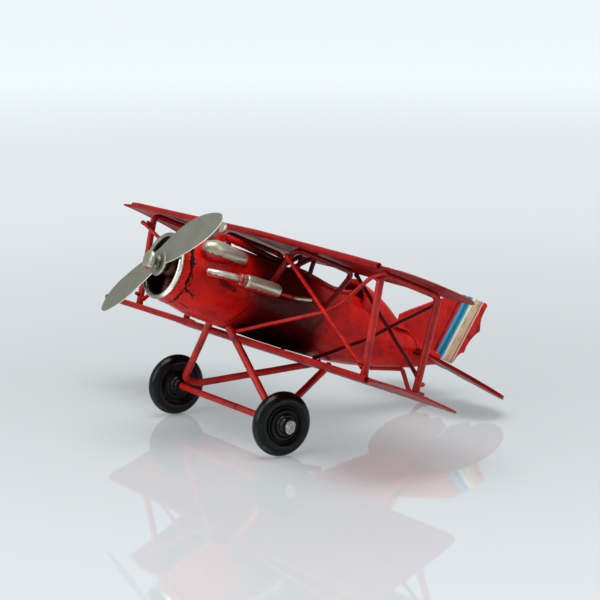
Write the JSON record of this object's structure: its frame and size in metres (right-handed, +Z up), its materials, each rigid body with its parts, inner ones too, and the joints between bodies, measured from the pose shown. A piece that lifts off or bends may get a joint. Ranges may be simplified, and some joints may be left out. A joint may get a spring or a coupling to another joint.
{
  "type": "biplane ornament",
  "caption": "Small tin-plate biplane ornament on wheels and a tail skid, with a free-turning propeller, open cockpit, wire struts and a scalloped rudder.",
  "frame": {"origin": "middle of the bottom of the whole ornament, on the surface it stands on", "axes": "+Z up, -Y towards the nose, +X to port, which is the pilot's left"},
  "size_m": [0.161, 0.1356, 0.0749],
  "materials": {
    "red_paint": "worn glossy red paint",
    "silver_paint": "worn warm silver paint",
    "dark_metal": "dark red-brown paint, semi-gloss",
    "black_plastic": "moulded, glossy",
    "bare_steel": "bright, lightly dulled",
    "striped_paint": "red with a blue and a cream stripe, worn"
  },
  "bodies": {
    "airframe": {"fuselage_shell": "red_paint", "turtledeck": "red_paint", "cockpit_coaming": "red_paint", "cockpit_seat": "dark_metal", "dashboard": "dark_metal", "cowl_band": "red_paint", "cowl_lip": "silver_paint", "engine_backplate": "dark_metal", "engine_crankcase": "dark_metal", "engine_cylinder_1": "dark_metal", "engine_cylinder_2": "dark_metal", "engine_cylinder_3": "dark_metal", "engine_cylinder_4": "dark_metal", "engine_cylinder_5": "dark_metal", "cowl_blister_port": "silver_paint", "cowl_blister_starboard": "silver_paint", "exhaust_pipe_port": "silver_paint", "exhaust_pipe_starboard": "silver_paint", "exhaust_collar_port": "silver_paint", "exhaust_collar_starboard": "silver_paint", "exhaust_muffler_port": "silver_paint", "exhaust_muffler_starboard": "silver_paint", "exhaust_tailpipe_port": "silver_paint", "exhaust_tailpipe_starboard": "silver_paint", "gun_block": "red_paint", "gun_barrel": "red_paint", "gun_sight": "silver_paint", "windscreen_frame_port": "red_paint", "windscreen_frame_starboard": "red_paint", "windscreen_bridge": "red_paint", "upper_wing": "red_paint", "lower_wing": "red_paint", "interplane_strut_port": "red_paint", "interplane_strut_starboard": "red_paint", "cabane_strut_port": "red_paint", "cabane_strut_starboard": "red_paint", "brace_front_down_port": "red_paint", "brace_front_down_starboard": "red_paint", "brace_front_up_port": "red_paint", "brace_front_up_starboard": "red_paint", "brace_rear_down_port": "red_paint", "brace_rear_down_starboard": "red_paint", "brace_rear_up_port": "red_paint", "brace_rear_up_starboard": "red_paint", "landing_leg_port": "red_paint", "landing_leg_starboard": "red_paint", "axle": "red_paint", "axle_cap_port": "bare_steel", "axle_cap_starboard": "bare_steel", "fin": "red_paint", "rudder": "striped_paint", "tailplane_port": "red_paint", "tailplane_starboard": "red_paint", "tail_skid": "red_paint"},
    "propeller": {"propeller": "silver_paint", "propeller_shaft": "bare_steel", "propeller_nut": "bare_steel", "propeller_cap": "silver_paint"},
    "wheel_port": {"wheel_port": "black_plastic"},
    "wheel_starboard": {"wheel_starboard": "black_plastic"}
  },
  "joints": [
    {"name": "propeller_spin", "type": "hinge", "parent": "airframe", "child": "propeller", "pos_m": [0, -0.06075, 0.05728], "axis": [0, 0.9397, -0.342], "continuous": true},
    {"name": "wheel_port_spin", "type": "hinge", "parent": "airframe", "child": "wheel_port", "pos_m": [0.032, -0.03698, 0.01], "axis": [1, 0, 0], "continuous": true},
    {"name": "wheel_starboard_spin", "type": "hinge", "parent": "airframe", "child": "wheel_starboard", "pos_m": [-0.032, -0.03698, 0.01], "axis": [1, 0, 0], "continuous": true}
  ]
}
